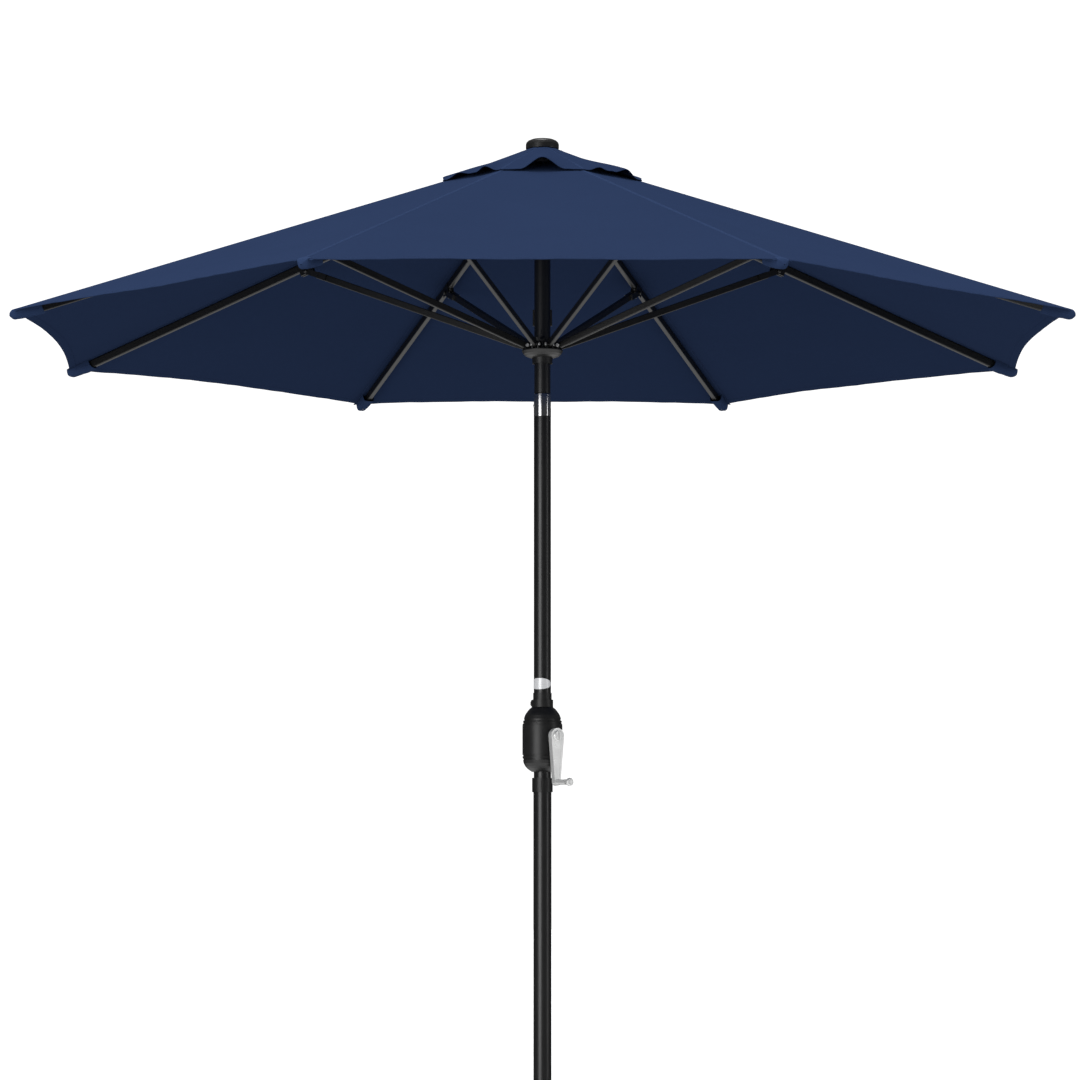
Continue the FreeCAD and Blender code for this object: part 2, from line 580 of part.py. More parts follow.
def label_plate():
    """Blank oval badge wrapped round the pole above the housing."""
    z0, half_turn, middle, half_height, steps = RIM_Z - 803.0, radians(96), radians(-25), 13.0, 40
    turns = [middle + half_turn * (2 * i / steps - 1) for i in range(steps + 1)]
    tall = [half_height * sqrt(max(0.0, 1 - ((a - middle) / half_turn) ** 2)) for a in turns]

    def at(r, i, side):
        return V(r * sin(turns[i]), -r * cos(turns[i]), z0 + side * tall[i])

    faces = []
    for i in range(steps):
        quads = [[at(12, i, s), at(30, i, s), at(30, i + 1, s), at(12, i + 1, s)] for s in (1, -1)]
        quads += [[at(r, i, 1), at(r, i + 1, 1), at(r, i + 1, -1), at(r, i, -1)] for r in (12, 30)]
        for a, b, c, d in quads:
            for tri in ((a, b, c), (a, c, d)):
                if min((tri[0] - tri[1]).Length, (tri[1] - tri[2]).Length, (tri[2] - tri[0]).Length) > 1e-6:
                    faces.append(Part.Face(Part.makePolygon([*tri, tri[0]])))
    wedge = Part.Solid(Part.Shell(faces))
    return wedge.common(ring(MID_R + 0.5, MID_R + 0.02, z0 - 20, z0 + 20))


# ---- lift cord -----------------------------------------------------------------------------------

def cord_lower():
    """From the spool straight up inside the pole to the tilt joint, with one gentle bend."""
    d = V(cos(CRANK_AZ), sin(CRANK_AZ), 0) * (SPOOL_R + CORD_R + 2.5)
    start = V(d.x, d.y, CRANK_Z)
    end = V(CORD_X, CORD_Y, TILT_Z)
    knee = V(CORD_X, CORD_Y, CRANK_Z + 120)
    return cord_through([start, knee, end], 60)


def cord_through(points, radius):
    """A cord through the points, its corners rounded by arcs of the given radius."""
    edges, last = [], points[0]
    for i in range(1, len(points) - 1):
        a, b, c = points[i - 1], points[i], points[i + 1]
        u, w = (a - b).normalize(), (c - b).normalize()
        half = u.getAngle(w) / 2
        cut = radius / tan(half)
        p, q = b + u * cut, b + w * cut
        middle = (u + w).normalize()
        centre = b + middle * (radius / sin(half))
        edges += [Part.makeLine(last, p), Part.Arc(p, centre - middle * radius, q).toShape()]
        last = q
    edges.append(Part.makeLine(last, points[-1]))
    path = Part.Wire(edges)
    ring_at = Part.Wire([Part.makeCircle(CORD_R, points[0], (points[1] - points[0]).normalize())])
    return path.makePipeShell([ring_at], True, False)


def cord_upper():
    """From the tilt joint up the upper pole and over the pulley."""
    top = PULLEY_Z
    start = V(CORD_X, CORD_Y, TILT_Z + 0.4)
    over = V(CORD_X, CORD_Y + PULLEY_R, top + PULLEY_R)
    edges = [Part.makeLine(start, V(CORD_X, CORD_Y, top)),
             Part.Arc(V(CORD_X, CORD_Y, top), over, V(CORD_X, CORD_OUT_Y, top)).toShape()]
    section = Part.Wire([Part.makeCircle(CORD_R, start, Z_AXIS)])
    return Part.Wire(edges).makePipeShell([section], True, False)


def cord_outer():
    """From the pulley down the outside of the pole into the runner's hole."""
    return cyl(CORD_R, RUNNER_Z + 7, PULLEY_Z - 0.4, CORD_X, CORD_OUT_Y)


# ---- base -----------------------------------------------------------------------------------------

def base_weight():
    body = turned([(0, BASE_UNDER), (BASE_R - 6, BASE_UNDER), (BASE_R, BASE_UNDER + 6),
                   (BASE_R, BASE_UNDER + 18), (BASE_R - 5, BASE_UNDER + 25), (210, 42), (150, 54),
                   (90, 64), (58, BASE_TOP - 6), (48, BASE_TOP), (0, BASE_TOP)])
    body = body.cut(cyl(TUBE_R + 0.05, 20, BASE_TOP + 5))
    return body.cut(ring(242, 218, 0, BASE_UNDER + 3))


def foot_ring():
    return ring(241.9, 218.1, 0, BASE_UNDER + 2.9)


def base_tube():
    tube = ring(TUBE_R, TUBE_BORE, 24, TUBE_TOP)
    tube = joined(tube, cyl(TUBE_R, 20.05, 24))
    lug = joined(cyl_y(9, KNOB_Z, -TUBE_R - 9, -TUBE_R + 2))
    body = joined(tube, lug.cut(cyl(TUBE_BORE + 1, KNOB_Z - 20, KNOB_Z + 20)))
    return body.cut(cyl_y(4.1, KNOB_Z, -60, -10))


def cyl_y(r, z, y0, y1):
    return rod(r, V(0, y0, z), V(0, 1, 0), y1 - y0)


def base_bushing():
    body = joined(ring(TUBE_BORE - 0.05, LOWER_R + 0.08, 150, TUBE_TOP + 1),
                  ring(TUBE_R + 1.5, LOWER_R + 0.08, TUBE_TOP + 0.02, TUBE_TOP + 8))
    return body.cut(cyl_y(4.6, KNOB_Z, -60, -10))


def clamp_knob():
    face = -TUBE_R - 17.0
    grip = cyl_y(24, KNOB_Z, face - 20, face)
    for k in range(6):
        a = 2 * pi * k / 6
        grip = grip.cut(rod(7.5, V(27 * cos(a), face - 25, KNOB_Z + 27 * sin(a)), V(0, 1, 0), 30))
    body = joined(grip, cyl_y(11, KNOB_Z, face - 1, face + 6))
    return body.cut(cyl_y(4.05, KNOB_Z, face - 5.2, face + 10))


def clamp_screw():
    return cyl_y(4.0, KNOB_Z, -TUBE_R - 18 - 0.05 - 4, -LOWER_R - 0.3)


def build():
    os.makedirs("parts", exist_ok=True)
    for k, angle in enumerate(rib_angles(), 1):
        save("canopy_%d" % k, azimuth(canopy_piece(), angle), azimuth(cap_piece(), angle))
        save("rib_%d" % k, *[azimuth(s, angle) for s in rib_pieces()])
        save("strut_%d" % k, *[azimuth(s, angle) for s in strut_pieces()])
    save("crown_hub", crown_hub())
    save("crown_pins", *all_ribs(cross_pin(PIVOT_R, CROWN_Z, PIN_R, 11)))
    save("pulley", *pulley())
    save("finial_cap", finial())
    save("runner", runner())
    save("runner_pins", *runner_pins())
    save("stop_blocks", *stop_blocks())
    save("upper_pole", ring(UPPER_R, UPPER_BORE, UPPER_BOTTOM, PULLEY_Z - 20.05))
    save("tilt_collar", tilt_collar())
    save("tilt_knuckle", tilt_knuckle())
    save("tilt_pin", tilt_pin())
    save("tilt_button", tilt_button())
    save("tilt_spring", tilt_spring())
    save("middle_pole", middle_pole())
    save("lower_pole", ring(LOWER_R, LOWER_BORE, 24.5, POLE_SPLIT))
    save("coupling_collar", coupling_collar())
    save("coupling_sleeve", inner_sleeve())
    front, back = housing_shells()
    save("housing_front", front)
    save("housing_back", back)
    save("housing_screws", *housing_screws())
    save("housing_neck", housing_neck())
    save("neck_screw", neck_screw())
    save("spool", spool())
    save("crank_shaft", crank_shaft())
    save("crank_arm", crank_arm())
    save("crank_grip", crank_grip())
    save("crank_screw", crank_screw())
    save("label_plate", label_plate())
    save("lift_cord_lower", cord_lower())
    save("lift_cord_upper", cord_upper())
    save("lift_cord_outer", cord_outer())
    save("base_weight", base_weight())
    save("foot_ring", foot_ring())
    save("base_tube", base_tube())
    save("base_bushing", base_bushing())
    save("clamp_knob", clamp_knob(), clamp_screw())


build()
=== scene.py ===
"""Patio umbrella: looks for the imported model. Units are metres, +Z is up, the front is -Y."""
import json
from math import atan, cos, exp, pi, radians, sin, tan
import bpy
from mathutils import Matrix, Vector

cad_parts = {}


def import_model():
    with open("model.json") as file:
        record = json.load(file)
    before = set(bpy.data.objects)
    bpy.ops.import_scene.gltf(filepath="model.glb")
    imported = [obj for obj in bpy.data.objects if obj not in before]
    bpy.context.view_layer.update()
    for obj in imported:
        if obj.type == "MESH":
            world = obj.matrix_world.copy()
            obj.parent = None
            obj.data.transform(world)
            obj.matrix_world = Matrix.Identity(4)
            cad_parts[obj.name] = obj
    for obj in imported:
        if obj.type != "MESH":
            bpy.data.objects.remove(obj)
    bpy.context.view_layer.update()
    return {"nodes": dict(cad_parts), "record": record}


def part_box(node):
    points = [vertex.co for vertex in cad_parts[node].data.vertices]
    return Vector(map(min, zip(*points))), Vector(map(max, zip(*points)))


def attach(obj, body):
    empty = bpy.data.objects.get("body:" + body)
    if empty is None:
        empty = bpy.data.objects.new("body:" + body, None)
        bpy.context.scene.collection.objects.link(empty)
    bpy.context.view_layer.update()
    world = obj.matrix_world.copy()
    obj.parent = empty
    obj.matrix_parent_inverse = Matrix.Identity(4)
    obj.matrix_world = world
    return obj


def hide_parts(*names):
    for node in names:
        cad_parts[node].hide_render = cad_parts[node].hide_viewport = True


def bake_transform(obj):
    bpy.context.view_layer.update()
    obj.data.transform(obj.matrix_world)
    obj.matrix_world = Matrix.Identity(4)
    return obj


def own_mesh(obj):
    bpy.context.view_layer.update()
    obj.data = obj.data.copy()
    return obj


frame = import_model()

UP = Vector((0, 0, 1))

# canopy: eight flat gores between straight ribs, then sagged and puckered
RIBS = 8
HALF = pi / RIBS
SLOPE = radians(19.5)
RIM_R, RIM_Z = 1.270, 2.020
APEX = Vector((0, 0, RIM_Z + RIM_R * tan(SLOPE)))
GORE_TILT = atan(tan(SLOPE) / cos(HALF))
GORE_HALF = atan(tan(HALF) * cos(GORE_TILT))      # half of a gore's angle, in its own plane
SIDE_FALL = tan(SLOPE) * tan(HALF)                # fall of a gore per metre away from a rib
HEM_DIP = 0.029
VENT_LEN = 0.122
CLOTH_T = 0.0010
HEM_T = 0.0019
HEM_W = 0.019
SAG = 0.011
BODY_ROWS = 84
ACROSS = [0, .012, .026, .044, .068, .10, .14, .19, .25, .31, .38, .45, .52, .59, .66, .73, .80,
          .87, .935, 1]                           # shares of half a gore, from the rib
HEM_ROWS = [0.030, 0.0215, 0.0198, 0.0188, 0.018, 0.0168, 0.0155, 0.0142, 0.009, 0.004, 0.0012,
            0.0004, 0.0]                          # distances from the hem

# the tongue of spare cloth at the middle of a gore
TONGUE, TONGUE_LEAST, TONGUE_BACK = 0.0265, 0.003, 0.004
TONGUE_T = 0.0002
TONGUE_SUNK = {1: 0.00022, -1: 0.00056}

# vent cap, its round centre and its lining
CAP_R = 0.250
CAP_LIFT = 0.0042
CAP_RISE = 0.015
CAP_IN = 0.050
CAP_DIP = 0.007
CAP_HEM_W = 0.012
CAP_BODY_ROWS, CAP_COLS = 26, 23
CAP_HEM_ROWS = [0.0132, 0.0124, 0.0116, 0.0104, 0.0094, 0.0084, 0.005, 0.002, 0.0006, 0.0]
FRONT_SLACK = 0.027
PATCH_IN, PATCH_WIDE, PATCH_T = 0.011, 0.047, 0.0010
PATCH_ROWS, PATCH_COLS = 12, 65
PATCH_STITCH_R, PATCH_STITCHES = 0.053, 56
LINING_IN, LINING_OUT, LINING_OVER = 0.036, 0.136, 0.015
LINING_T = 0.0004
LINING_ROWS, LINING_COLS = 22, 33

# stitches, and how far their rows are from the hems
THREAD = 1                                        # its place among a cloth piece's materials
STITCH_PITCH, STITCH_LEN = 0.0052, 0.0036
STITCH_HALF_W, STITCH_HALF_H = 0.00045, 0.0005
HEM_STITCH, CAP_STITCH = 0.0155, 0.0094
STITCH_SHARE = 0.68                               # thread showing in a strip, per pitch

# half widths of the strips along a rib
SEAM_HALF, CAP_SEAM_HALF, TAPE_HALF = 0.0056, 0.0048, 0.0205

# ribs, from the crown pivot outward
PIVOT_R, RIB_DROP = 0.042, 0.0135
ARM, BRACKET_DROP, BRACKET_HALF = 0.612, 0.013, 0.0119
RIVET_SIDES = 24
RIVET_OUTLINE = ((0.0050, -0.0009), (0.0051, 0.0006), (0.0047, 0.0013), (0.0036, 0.0021),
                 (0.0019, 0.0026), (0.0004, 0.0027))    # radius and height

# corner pockets, measured from the rib's tip
POCKET_LEN, POCKET_OVER = 0.066, 0.008
POCKET_ROWS, POCKET_COLS = 44, 49
POCKET_MIDDLE = -0.0105
POCKET_T = 0.0009
POCKET_STITCH = 0.0024

# lift cord
BRAID_PITCH, BRAID_ROW, BRAID_SIDES = 0.012, 0.0015, 16
TAIL_LOW, TAIL_HIGH, TAIL_SLIM = 0.002, 0.39, 0.85

# studio
FLOOR_SIZE, FLOOR_CELLS, FLOOR_Z = 60.0, 24, -0.0005
FLOOR_GLOW = 0.35
SKY_SEEN = 1.15
SKY_LIGHT, GROUND_LIGHT = 0.95, 0.66
DARK_STUDIO, PALE_GROUND = 0.05, 0.9
SUN_WAY, SUN_POWER, SUN_SPREAD = (0.06, 0.10, -1.0), 1.9, 35
SOFTBOXES = (                                     # name, place, aim, size and power
    ("left window", (-2.5, -3.9, 1.3), (0, 0, 1.3), (2.6, 3.4), 72),
    ("right strip", (4.5, -1.64, 1.2), (0, 0, 1.2), (0.9, 2.6), 11.8),
)
CAMERA_LENS, CAMERA_SENSOR = 118.9, 36.0
CAMERA_AT, CAMERA_RAISE = (-0.0056, -8.293, 0.829), 4.99

COLOURS = {
    "cloth": (0.0160, 0.0278, 0.0665),
    # lighter navy for the seams and corner pockets: a painted highlight of the light that catches
    # the raised seams
    "seam_highlight_cloth": (0.0216, 0.0375, 0.0880),
    "thread": (0.0290, 0.0480, 0.1080),
    "sheen": (0.35, 0.50, 1.0),
    "rib_coat": (0.0075, 0.0074, 0.0072),
    "pole_coat": (0.0055, 0.0055, 0.0056),
    "plastic": (0.0060, 0.0060, 0.0061),
    "chrome": (0.80, 0.80, 0.81),
    "silver": (0.88, 0.88, 0.87),
    "badge": (0.88, 0.88, 0.89),
    "steel": (0.45, 0.45, 0.46),
    "cord": (0.018, 0.018, 0.019),
    "rubber": (0.016, 0.016, 0.016),
    "base_coat": (0.022, 0.022, 0.024),
    "floor": (0.86, 0.86, 0.86),
    "sky": (0.97, 0.985, 1),
}


# ---- mesh helpers --------------------------------------------------------------------------

class Draft:
    """Vertices, faces, cloth coordinates and material numbers of one mesh."""

    def __init__(self):
        self.verts, self.uvs, self.faces, self.slots = [], [], [], []

    def add(self, points, uvs, faces, slot=0):
        base = len(self.verts)
        self.verts += [tuple(p) for p in points]
        self.uvs += uvs
        self.faces += [tuple(base + i for i in f) for f in faces]
        self.slots += [slot] * len(faces)

    def build(self, name, materials, crease=40):
        mesh = bpy.data.meshes.new(name)
        mesh.from_pydata(self.verts, [], self.faces)
        mesh.polygons.foreach_set("material_index", self.slots)
        layer = mesh.uv_layers.new(name="cloth")
        loops = [0] * len(mesh.loops)
        mesh.loops.foreach_get("vertex_index", loops)
        layer.data.foreach_set("uv", [c for i in loops for c in self.uvs[i]])
        for m in materials:
            mesh.materials.append(m)
        mesh.shade_smooth()
        mesh.set_sharp_from_angle(angle=radians(crease))
        obj = bpy.data.objects.new(name, mesh)
        bpy.context.collection.objects.link(obj)
        return obj


def grids(rows, cols, cell):
    """Grids of top points, bottom points and cloth coordinates; cell(i, j) gives all three."""
    cells = [[cell(i, j) for j in range(cols)] for i in range(rows)]
    return [[[three[part] for three in row] for row in cells] for part in range(3)]


def shell(draft, top, bottom, uvs, flip=False):
    """A closed shell between two grids of points."""
    rows, cols = len(top), len(top[0])
    points = [p for grid in (top, bottom) for row in grid for p in row]
    flat = [c for row in uvs for c in row]
    n = rows * cols
    faces = []
    for i in range(rows - 1):
        for j in range(cols - 1):
            a, b = i * cols + j, (i + 1) * cols + j
            faces.append((a, b, b + 1, a + 1))
            faces.append((n + a + 1, n + b + 1, n + b, n + a))
    rim = list(range(cols)) + [i * cols + cols - 1 for i in range(1, rows)]
    rim += [(rows - 1) * cols + j for j in range(cols - 2, -1, -1)]
    rim += [i * cols for i in range(rows - 2, 0, -1)]
    for k, a in enumerate(rim):
        b = rim[(k + 1) % len(rim)]
        faces.append((a, b, n + b, n + a))
    if flip:
        faces = [f[::-1] for f in faces]
    draft.add(points, flat + flat, faces)


def stitch(draft, centre, along, up, across, length):
    """One raised thread: a small bar with bevelled ends, half sunk in the cloth."""
    w, h = STITCH_HALF_W, STITCH_HALF_H
    points = []
    for s, k in ((-0.5, 0.35), (-0.3, 1.0), (0.3, 1.0), (0.5, 0.35)):
        for a, b in ((-1, -0.6), (1, -0.6), (0.7, 1), (-0.7, 1)):
            points.append(centre + along * (s * length) + across * (a * w * k)
                          + up * (b * h * k))
    faces = [(3, 2, 1, 0), (12, 13, 14, 15)]
    for r in range(3):
        for c in range(4):
            a, b = r * 4 + c, r * 4 + (c + 1) % 4
            faces.append((a, b, b + 4, a + 4))
    draft.add(points, [(centre.x, centre.y)] * len(points), faces, THREAD)


def tube_faces(rings, sides):
    """Faces of a tube between rings of points, closed at both ends."""
    faces = []
    for i in range(rings):
        for j in range(sides):
            a, b = i * sides + j, i * sides + (j + 1) % sides
            faces.append((a, b, b + sides, a + sides))
    faces.append(tuple(rings * sides + j for j in range(sides)))
    faces.append(tuple(range(sides - 1, -1, -1)))
    return faces


def smooth(t, a, b):
    """Rises from 0 at a to 1 at b, level at both ends."""
    t = min(1, max(0, (t - a) / (b - a)))
    return t * t * (3 - 2 * t)


# ---- canopy geometry -----------------------------------------------------------------------

def rib_frame(k):
    """Outward and sideways directions of rib k, counted from the right of the front."""
    a = HALF + 2 * HALF * (k - 1)
    return Vector((sin(a), -cos(a), 0)), Vector((cos(a), sin(a), 0))


class HalfGore:
    """The plane of half a gore, beside rib k on one side of it."""

    def __init__(self, k, side):
        self.side = side
        out, sideways = rib_frame(k)
        middle = out * cos(HALF) + sideways * side * sin(HALF)
        self.down = middle * cos(GORE_TILT) - UP * sin(GORE_TILT)
        self.across = sideways * side * cos(HALF) - out * sin(HALF)
        self.normal = middle * sin(GORE_TILT) + UP * cos(GORE_TILT)
        self.gore = k % RIBS if side > 0 else k - 1

    def at(self, m, psi):
        """The point m from the apex, psi round from the rib, and its cloth coordinates."""
        s, v = m * sin(GORE_HALF - psi), m * cos(GORE_HALF - psi)
        return APEX + self.down * v - self.across * s, (self.side * s, v)


def wrinkle(p):
    """Gentle unevenness of the cloth, the same from every piece that meets at a point."""
    waves = ((0.0009, 9.5, 0.4, 0.3), (0.0007, 14.0, 1.7, 1.9), (0.0005, 23.0, 2.6, 4.1),
             (0.0003, 37.0, 0.9, 2.2))
    return sum(a * sin(f * (p.x * cos(d) + p.y * sin(d)) + c) for a, f, d, c in waves)


def relief(p, m, psi, edge):
    """Height of the cloth above its gore's plane; edge is the distance from the hem."""
    u = 1 - psi / GORE_HALF
    rib_gap = m * sin(psi)
    span = smooth(m, VENT_LEN, 0.62) * (1 - 0.5 * smooth(m, 0.85, 1.25))
    sag = -SAG * (1 - u * u) ** 2 * span
    loose = wrinkle(p) * smooth(rib_gap, 0, 0.09)
    seam = 0.00045 * exp(-((rib_gap - 0.013) / 0.010) ** 2) * sin(150 * m + 3 * sin(11 * m))
    hem = 0.0004 * exp(-(edge / 0.035) ** 2) * sin(95 * rib_gap + 4 * u) * smooth(rib_gap, 0, 0.05)
    return sag + loose + seam * smooth(rib_gap, 0, 0.006) + hem


def hem_length(psi):
    """Distance from the apex to the hem, which dips in between the ribs."""
    u = 1 - psi / GORE_HALF
    chord = RIM_R * cos(HALF) / cos(GORE_TILT)
    return chord / cos(GORE_HALF - psi) - HEM_DIP * (1 - u * u)


def hem_profile(edge):
    """Heights of the panel's two faces from its plane, by distance from the hem."""
    folded = 1 - smooth(edge, HEM_W - 0.001, HEM_W + 0.0008)
    roll = 1 - smooth(edge, 0, 0.0012)
    groove = 0.0004 * exp(-((edge - HEM_STITCH) / 0.0011) ** 2)
    top = 0.00025 * folded - groove - 0.0009 * roll
    bottom = -CLOTH_T - (HEM_T - CLOTH_T) * folded + groove * 0.6 + 0.0007 * roll
    return top, bottom


def canopy_height(p, m, psi):
    """Height of the canopy above its gore's plane."""
    return relief(p, m, psi, hem_length(psi) - m)


def panel_grids(gore):
    """The panel from the rib to the middle of the gore, and from the vent to the hem."""
    def cell(i, j):
        psi = ACROSS[j] * GORE_HALF
        reach = hem_length(psi)
        if i < BODY_ROWS:
            m = VENT_LEN + (reach - HEM_ROWS[0] - VENT_LEN) * i / BODY_ROWS
        else:
            m = reach - HEM_ROWS[i - BODY_ROWS]
        edge = reach - m
        p, c = gore.at(m, psi)
        p = p + gore.normal * relief(p, m, psi, edge)
        up, down = hem_profile(edge)
        return p + gore.normal * up, p + gore.normal * down, c
    return grids(BODY_ROWS + len(HEM_ROWS), len(ACROSS), cell)


def tongue(gore, draft, inner, outer, height, rows=60):
    """Spare cloth past the middle of the gore, inside its neighbour's thickness when open."""
    sunk = TONGUE_SUNK[gore.side]

    def cell(i, j):
        m = inner + (outer - inner) * i / (rows - 1)
        spare = TONGUE_LEAST + TONGUE * m
        offset = 0.25 * (j - 1) * spare if j else -TONGUE_BACK
        psi = GORE_HALF + offset / m
        p, c = gore.at(m, psi)
        p = p + gore.normal * height(p, m, min(psi, 2 * GORE_HALF - psi))
        return p - gore.normal * sunk, p - gore.normal * (sunk + TONGUE_T), c
    shell(draft, *grids(rows, 6, cell), gore.side < 0)


def hem_stitches(gore, draft, reach_of, edge, height):
    """A row of stitches at a distance from the hem, on the upper face."""
    psi = 0.004
    while psi < GORE_HALF - 0.003:
        m = reach_of(psi) - edge
        here, _ = gore.at(m, psi)
        ahead, _ = gore.at(reach_of(psi + 0.002) - edge, psi + 0.002)
        along = (ahead - here).normalized()
        centre = here + gore.normal * (height(here, m, psi) - 0.0001)
        stitch(draft, centre, along, gore.normal, gore.normal.cross(along), STITCH_LEN)
        psi += STITCH_PITCH / m


def fold(obj, k):
    """Carries the piece on rib k, with a mesh of its own."""
    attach(obj, "rib_%d" % k)
    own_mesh(obj)


def side_name(side):
    return "right" if side > 0 else "left"


def canopy_panel(k, side, mats):
    gore = HalfGore(k, side)
    draft = Draft()
    shell(draft, *panel_grids(gore), side < 0)
    tongue(gore, draft, VENT_LEN + 0.001, hem_length(GORE_HALF) - 0.0015, canopy_height)
    hem_stitches(gore, draft, hem_length, HEM_STITCH, canopy_height)
    obj = draft.build("canopy_%d_%s" % (k, side_name(side)), mats)
    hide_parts("canopy_%d" % k)
    fold(obj, k)
    return obj


# ---- vent cap ------------------------------------------------------------------------------

def cap_reach(psi):
    """Distance from the apex to the cap's hem."""
    u = 1 - psi / GORE_HALF
    chord = CAP_R * cos(HALF) / cos(GORE_TILT)
    return chord / cos(GORE_HALF - psi) - CAP_DIP * (1 - u * u)


def cap_rise(m):
    """The cap is held up in the middle and comes down to the ribs' seams at its corners."""
    return CAP_LIFT + CAP_RISE * (1 - m * cos(SLOPE) / CAP_R)


def cap_height(gore):
    """Slack between the ribs: one bell-shaped opening in front, two waves in each other gore."""
    front = gore.gore == 0
    swell = 0.0125 + 0.0045 * sin(2.4 * gore.gore + 1.3 * gore.side)
    level = 0.0045 + 0.002 * sin(1.7 * gore.gore)

    def height(p, m, psi):
        a = psi / GORE_HALF
        if front:
            slack = FRONT_SLACK * smooth(a, 0.42, 1.0)
        else:
            slack = swell * sin(pi * min(1, max(0, (a - 0.10) / 0.84))) ** 2
            slack += level * smooth(a, 0.6, 1.0)
        out = smooth(m, 0.07, CAP_R)
        return cap_rise(m) + slack * out ** 1.3 + 0.5 * wrinkle(p) * smooth(a, 0, 0.3)
    return height


def cap_panel(k, side, mats):
    gore = HalfGore(k, side)
    height = cap_height(gore)
    first = CAP_HEM_ROWS[0]

    def cell(i, j):
        psi = GORE_HALF * j / (CAP_COLS - 1)
        reach = cap_reach(psi)
        if i < CAP_BODY_ROWS:
            edge = (reach - first - CAP_IN) * (1 - i / CAP_BODY_ROWS) + first
        else:
            edge = CAP_HEM_ROWS[i - CAP_BODY_ROWS]
        m = reach - edge
        p, c = gore.at(m, psi)
        p = p + gore.normal * height(p, m, psi)
        folded = 1 - smooth(edge, CAP_HEM_W - 0.0006, CAP_HEM_W + 0.0006)
        roll = 1 - smooth(edge, 0, 0.0009)
        top = p + gore.normal * (0.0002 * folded - 0.0007 * roll)
        bottom = p - gore.normal * (CLOTH_T + 0.0007 * folded - 0.0005 * roll)
        return top, bottom, c
    draft = Draft()
    shell(draft, *grids(CAP_BODY_ROWS + len(CAP_HEM_ROWS), CAP_COLS, cell), side < 0)
    tongue(gore, draft, CAP_IN + 0.001, cap_reach(GORE_HALF) - 0.0015, height, 20)
    hem_stitches(gore, draft, cap_reach, CAP_STITCH, height)
    obj = draft.build("vent_cap_%d_%s" % (k, side_name(side)), mats)
    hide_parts("canopy_%d" % k)
    fold(obj, k)
    return obj


def patch_z(r, a):
    """Height of the round patch, and its ripple, at a radius and an angle."""
    z = APEX.z + CAP_LIFT + CAP_RISE + 0.0016 - (1.02 * tan(SLOPE) + CAP_RISE / CAP_R) * r
    return z, 0.0004 * sin(8 * a)


def cap_centre(mats):
    """The round patch under the finial that the cap's panels are sewn to."""
    last = PATCH_ROWS - 1

    def cell(i, j):
        r = PATCH_IN + PATCH_WIDE * i / last
        a = 2 * pi * j / (PATCH_COLS - 1)
        z, ripple = patch_z(r, a)
        p = Vector((r * cos(a), r * sin(a), z - 0.0011 * smooth(i, last - 2, last) + ripple))
        return p, p - UP * PATCH_T, (p.x, p.y)
    draft = Draft()
    shell(draft, *grids(PATCH_ROWS, PATCH_COLS, cell))
    for j in range(PATCH_STITCHES):
        a = 2 * pi * j / PATCH_STITCHES
        outward = Vector((cos(a), sin(a), 0))
        centre = outward * PATCH_STITCH_R + UP * sum(patch_z(PATCH_STITCH_R, a))
        stitch(draft, centre, Vector((-sin(a), cos(a), 0)), UP, outward, STITCH_LEN)
    obj = draft.build("vent_cap_centre", mats)
    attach(obj, "upper_pole")
    return obj


def cap_lining(k, mats):
    """Lining under the cap by rib k, from the finial to the rib, lapping over its neighbours."""
    below = 0.0021 + 0.0006 * (k % 2)
    sides = {side: HalfGore(k, side) for side in (-1, 1)}
    middle = LINING_COLS // 2

    def cell(i, j):
        m = LINING_IN + (LINING_OUT - LINING_IN) * i / (LINING_ROWS - 1)
        t = (j - middle) / middle
        gore = sides[1 if t > 0 else -1]
        p, c = gore.at(m, abs(t) * (GORE_HALF + LINING_OVER / m))
        p = p + UP * ((cap_rise(m) - below) / cos(SLOPE))
        return p, p - UP * LINING_T, c
    draft = Draft()
    shell(draft, *grids(LINING_ROWS, LINING_COLS, cell))
    obj = draft.build("vent_lining_%d" % k, mats)
    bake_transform(obj)
    return obj


# ---- seams, tapes and pockets --------------------------------------------------------------

def strip(name, k, mats, columns, inner, outer, upper, lower, extra, rows=150, stitches=()):
    """A strip along rib k that follows the fall of the cloth on both sides."""
    out, sideways = rib_frame(k)
    fall = out * cos(SLOPE) - UP * sin(SLOPE)

    def cell(i, j):
        m = inner + (outer - inner) * i / (rows - 1)
        y = columns[j]
        p = APEX + fall * m + sideways * y + UP * (extra(m) - SIDE_FALL * abs(y))
        ripple = 0.00018 * sin(260 * m + 40 * y) * smooth(abs(y), 0, 0.005)
        return p + UP * (upper(y) + ripple), p + UP * (lower(y) + ripple), (y, m)
    draft = Draft()
    shell(draft, *grids(rows, len(columns), cell))
    for y, height, pitch in stitches:
        m = inner + 0.004
        while m < outer - 0.004:
            above = UP * (extra(m) + height - SIDE_FALL * abs(y))
            centre = APEX + fall * m + sideways * y + above
            stitch(draft, centre, fall, UP, sideways, pitch * STITCH_SHARE)
            m += pitch
    obj = draft.build(name, mats)
    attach(obj, "rib_%d" % k)
    return obj


def rib_length(r):
    """Distance from the apex along a rib, at a radius."""
    return r / cos(SLOPE)


def seam(k, mats):
    w = SEAM_HALF
    columns = [-w, -w * 0.93, -w * 0.6, -w * 0.2, 0, w * 0.2, w * 0.6, w * 0.93, w]

    def upper(y):
        t = abs(y) / w
        return 0.00085 - 0.0009 * smooth(t, 0.86, 1.0) + 0.00035 * exp(-(t / 0.22) ** 2)
    return strip("seam_%d" % k, k, mats, columns, rib_length(CAP_R) - 0.012,
                 rib_length(RIM_R) - 0.002, upper, lambda y: -0.0007, lambda m: 0,
                 stitches=((-0.0036, 0.0008, STITCH_PITCH), (0.0036, 0.0008, STITCH_PITCH)))


